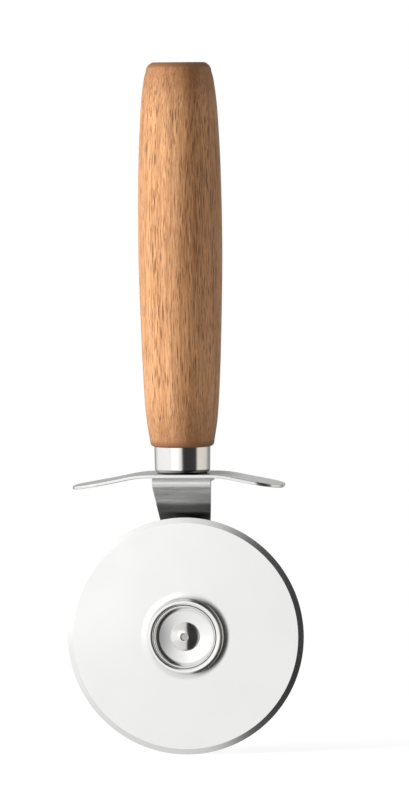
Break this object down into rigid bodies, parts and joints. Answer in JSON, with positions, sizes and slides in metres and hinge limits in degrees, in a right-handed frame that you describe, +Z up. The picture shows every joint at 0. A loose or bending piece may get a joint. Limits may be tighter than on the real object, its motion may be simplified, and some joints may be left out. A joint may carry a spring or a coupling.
{
  "type": "pastry cutter wheel",
  "caption": "Hand-held pastry and pizza cutter: a sharp steel wheel turning on a rivet in a bent arm, with a curved finger guard, ferrule and turned wooden handle.",
  "frame": {"origin": "on the axis of the handle, level with the lowest point of the wheel's edge", "axes": "+Z up along the handle, wheel axle along Y with the hub boss facing -Y, X along the finger guard"},
  "size_m": [0.075, 0.0264, 0.2184],
  "materials": {
    "handle_wood": "oiled open-grained hardwood",
    "ferrule_steel": "polished",
    "guard_steel": "satin",
    "arm_steel": "satin rolled sheet",
    "blade_steel": "fine satin with a ground edge",
    "dish_steel": "polished",
    "rivet_steel": "polished",
    "plate_steel": "satin",
    "inner_steel": "plain zinc-free steel",
    "sleeve_brass": "turned",
    "nylon": "plain"
  },
  "bodies": {
    "handle_frame": {"wooden_handle": "handle_wood", "ferrule": "ferrule_steel", "tang_rod": "inner_steel", "tang_washer": "inner_steel", "finger_guard": "guard_steel", "wheel_arm": "arm_steel", "dish_washer": "dish_steel", "axle_rivet": "rivet_steel", "axle_spacer": "inner_steel", "front_thrust_washer": "nylon", "rear_thrust_washer": "nylon", "rivet_washer": "inner_steel"},
    "wheel": {"blade_disc": "blade_steel", "hub_plate": "plate_steel", "bearing_sleeve": "sleeve_brass"}
  },
  "joints": [
    {"name": "wheel_spin", "type": "hinge", "parent": "handle_frame", "child": "wheel", "pos_m": [0, 0.0032, 0.0375], "axis": [0, 1, 0], "continuous": true}
  ]
}
